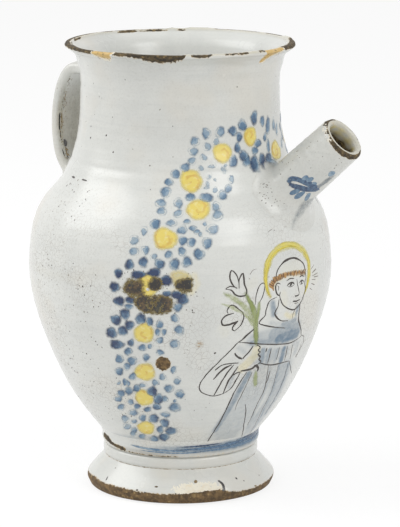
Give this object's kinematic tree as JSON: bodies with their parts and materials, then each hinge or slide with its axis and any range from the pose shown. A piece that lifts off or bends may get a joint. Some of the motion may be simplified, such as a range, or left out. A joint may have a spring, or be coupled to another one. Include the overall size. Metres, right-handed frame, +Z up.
{
  "type": "spouted drug jar",
  "caption": "Tin-glazed earthenware wet-drug jar: bellied body on a spreading foot, wide flared mouth, slanted pouring spout and a strap handle opposite it.",
  "frame": {"origin": "centre of the circle that the foot's standing ring makes on the table, on the jar's axis", "axes": "+Z up along the jar's axis to the mouth, +X along the spout's side, the handle on -X, the jar mirror-symmetric across the XZ plane"},
  "size_m": [0.1731, 0.148, 0.22],
  "materials": {
    "body": "glossy tin glaze",
    "foot": "glossy tin glaze",
    "foot_luting": "glossy tin glaze",
    "spout": "glossy tin glaze",
    "spout_luting": "glossy tin glaze",
    "handle": "glossy tin glaze",
    "handle_upper_luting": "glossy tin glaze",
    "handle_lower_luting": "glossy tin glaze"
  },
  "bodies": {
    "root": {"body": "body", "foot": "foot", "foot_luting": "foot_luting", "spout": "spout", "spout_luting": "spout_luting", "handle": "handle", "handle_upper_luting": "handle_upper_luting", "handle_lower_luting": "handle_lower_luting"}
  },
  "joints": []
}
